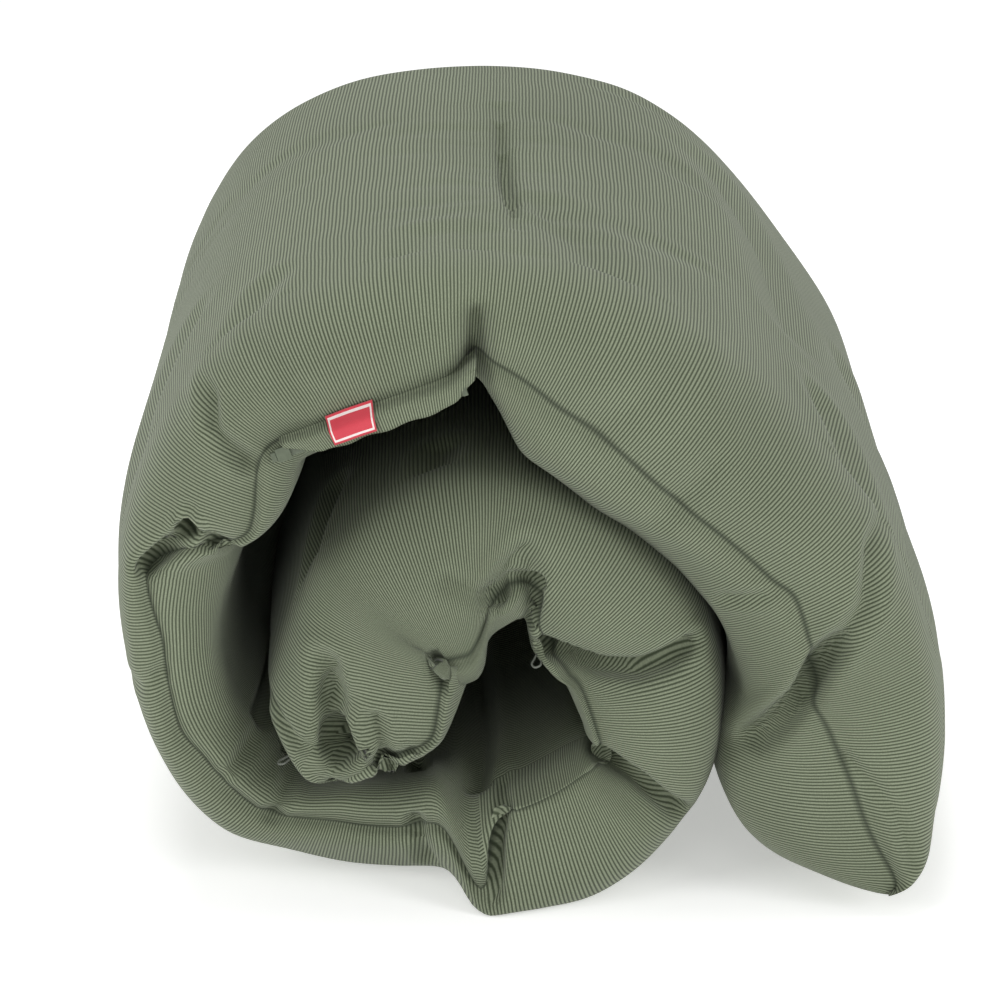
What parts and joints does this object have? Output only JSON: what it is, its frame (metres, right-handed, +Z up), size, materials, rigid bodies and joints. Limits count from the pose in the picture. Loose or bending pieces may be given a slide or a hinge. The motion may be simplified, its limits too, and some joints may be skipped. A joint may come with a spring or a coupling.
{
  "type": "infrared sauna blanket",
  "caption": "Thick padded heating mat in ribbed sage-green fabric, rolled up for storage, that unrolls flat at cross-quilted folds.",
  "frame": {"origin": "on the floor under the middle of the roll: centre of the underside of the bounding box", "axes": "+Z up, +Y along the roll's axis from the end with the label to the far end, +X towards the mat's outer free end"},
  "size_m": [0.5163, 0.61, 0.4224],
  "materials": {
    "outer_fabric": "sage green corded weave, matt",
    "lining_fabric": "sage green corded weave, matt",
    "fibre_filling": "white fibre wadding",
    "carbon_film": "laminated carbon film on foil",
    "zip_nylon": "nylon coil",
    "zip_metal": "painted zinc",
    "label_weave": "red woven label",
    "black_plastic": "moulded black",
    "contact_brass": "plain",
    "lead_insulation": "silicone insulation",
    "loop_cord": "braided elastic cord"
  },
  "bodies": {
    "panel_01": {"outer_cover_01": "outer_fabric", "wadding_01": "fibre_filling", "lining_01": "lining_fabric"},
    "panel_02": {"outer_cover_02": "outer_fabric", "wadding_02": "fibre_filling", "lining_02": "lining_fabric", "heater_film_02": "carbon_film", "power_inlet": "black_plastic", "inlet_contacts": "contact_brass", "thermal_cutout": "black_plastic", "temperature_sensor": "black_plastic", "heater_leads": "lead_insulation"},
    "panel_03": {"outer_cover_03": "outer_fabric", "wadding_03": "fibre_filling", "lining_03": "lining_fabric", "heater_film_03": "carbon_film"},
    "panel_04": {"outer_cover_04": "outer_fabric", "wadding_04": "fibre_filling", "lining_04": "lining_fabric", "heater_film_04": "carbon_film", "zip_chain": "zip_nylon", "zip_stops": "zip_metal", "zip_fly": "outer_fabric", "woven_label": "label_weave"},
    "panel_05": {"outer_cover_05": "outer_fabric", "wadding_05": "fibre_filling", "lining_05": "lining_fabric", "heater_film_05": "carbon_film"},
    "panel_06": {"outer_cover_06": "outer_fabric", "wadding_06": "fibre_filling", "lining_06": "lining_fabric", "heater_film_06": "carbon_film"},
    "panel_07": {"outer_cover_07": "outer_fabric", "wadding_07": "fibre_filling", "lining_07": "lining_fabric", "heater_film_07": "carbon_film"},
    "panel_08": {"outer_cover_08": "outer_fabric", "wadding_08": "fibre_filling", "lining_08": "lining_fabric", "heater_film_08": "carbon_film"},
    "panel_09": {"outer_cover_09": "outer_fabric", "wadding_09": "fibre_filling", "lining_09": "lining_fabric", "heater_film_09": "carbon_film"},
    "panel_10": {"outer_cover_10": "outer_fabric", "wadding_10": "fibre_filling", "lining_10": "lining_fabric", "heater_film_10": "carbon_film"},
    "panel_11": {"outer_cover_11": "outer_fabric", "wadding_11": "fibre_filling", "lining_11": "lining_fabric", "hang_loop_middle": "loop_cord"},
    "panel_12": {"outer_cover_12": "outer_fabric", "wadding_12": "fibre_filling", "lining_12": "lining_fabric"},
    "panel_13": {"outer_cover_13": "outer_fabric", "wadding_13": "fibre_filling", "lining_13": "lining_fabric", "hang_loop_end": "loop_cord"},
    "slider": {"zip_slider": "zip_metal"}
  },
  "joints": [
    {"name": "unroll", "type": "hinge", "parent": "panel_08", "child": "panel_07", "pos_m": [-0.13628, 0, 0], "axis": [0, -1, 0], "range_deg": [0, 40]},
    {"name": "fold_06_07", "type": "hinge", "parent": "panel_07", "child": "panel_06", "pos_m": [-0.22284, 0, 0.07264], "axis": [0, -1, 0], "range_deg": [0, 37]},
    {"name": "fold_05_06", "type": "hinge", "parent": "panel_06", "child": "panel_05", "pos_m": [-0.25816, 0, 0.22561], "axis": [0, -1, 0], "range_deg": [0, 37]},
    {"name": "fold_04_05", "type": "hinge", "parent": "panel_05", "child": "panel_04", "pos_m": [-0.19715, 0, 0.36264], "axis": [0, -1, 0], "range_deg": [0, 46]},
    {"name": "fold_03_04", "type": "hinge", "parent": "panel_04", "child": "panel_03", "pos_m": [-0.0327, 0, 0.4225], "axis": [0, -1, 0], "range_deg": [0, 48]},
    {"name": "fold_02_03", "type": "hinge", "parent": "panel_03", "child": "panel_02", "pos_m": [0.14918, 0, 0.32578], "axis": [0, -1, 0], "range_deg": [0, 27]},
    {"name": "fold_01_02", "type": "hinge", "parent": "panel_02", "child": "panel_01", "pos_m": [0.25816, 0, 0.17015], "axis": [0, -1, 0], "range_deg": [0, 35]},
    {"name": "fold_08_09", "type": "hinge", "parent": "panel_08", "child": "panel_09", "pos_m": [-0.02628, 0, 0], "axis": [0, 1, 0], "range_deg": [0, 21]},
    {"name": "fold_09_10", "type": "hinge", "parent": "panel_09", "child": "panel_10", "pos_m": [0.10629, 0, 0.05089], "axis": [0, 1, 0], "range_deg": [0, 67]},
    {"name": "fold_10_11", "type": "hinge", "parent": "panel_10", "child": "panel_11", "pos_m": [0.1111, 0, 0.1888], "axis": [0, 1, 0], "range_deg": [0, 55]},
    {"name": "fold_11_12", "type": "hinge", "parent": "panel_11", "child": "panel_12", "pos_m": [-0.01668, 0, 0.28509], "axis": [0, 1, 0], "range_deg": [0, 57]},
    {"name": "fold_12_13", "type": "hinge", "parent": "panel_12", "child": "panel_13", "pos_m": [-0.14072, 0, 0.23995], "axis": [0, 1, 0], "range_deg": [0, 56]},
    {"name": "zip_slide", "type": "slide", "parent": "panel_04", "child": "slider", "axis": [0.9397, 0, 0.342], "range_m": [0, 0.108]}
  ],
  "couplings": [
    {"joint": "fold_06_07", "follows": "unroll", "ratio": 0.925},
    {"joint": "fold_05_06", "follows": "unroll", "ratio": 0.925},
    {"joint": "fold_04_05", "follows": "unroll", "ratio": 1.15},
    {"joint": "fold_03_04", "follows": "unroll", "ratio": 1.2},
    {"joint": "fold_02_03", "follows": "unroll", "ratio": 0.675},
    {"joint": "fold_01_02", "follows": "unroll", "ratio": 0.875},
    {"joint": "fold_08_09", "follows": "unroll", "ratio": 0.525},
    {"joint": "fold_09_10", "follows": "unroll", "ratio": 1.675},
    {"joint": "fold_10_11", "follows": "unroll", "ratio": 1.375},
    {"joint": "fold_11_12", "follows": "unroll", "ratio": 1.425},
    {"joint": "fold_12_13", "follows": "unroll", "ratio": 1.4}
  ]
}
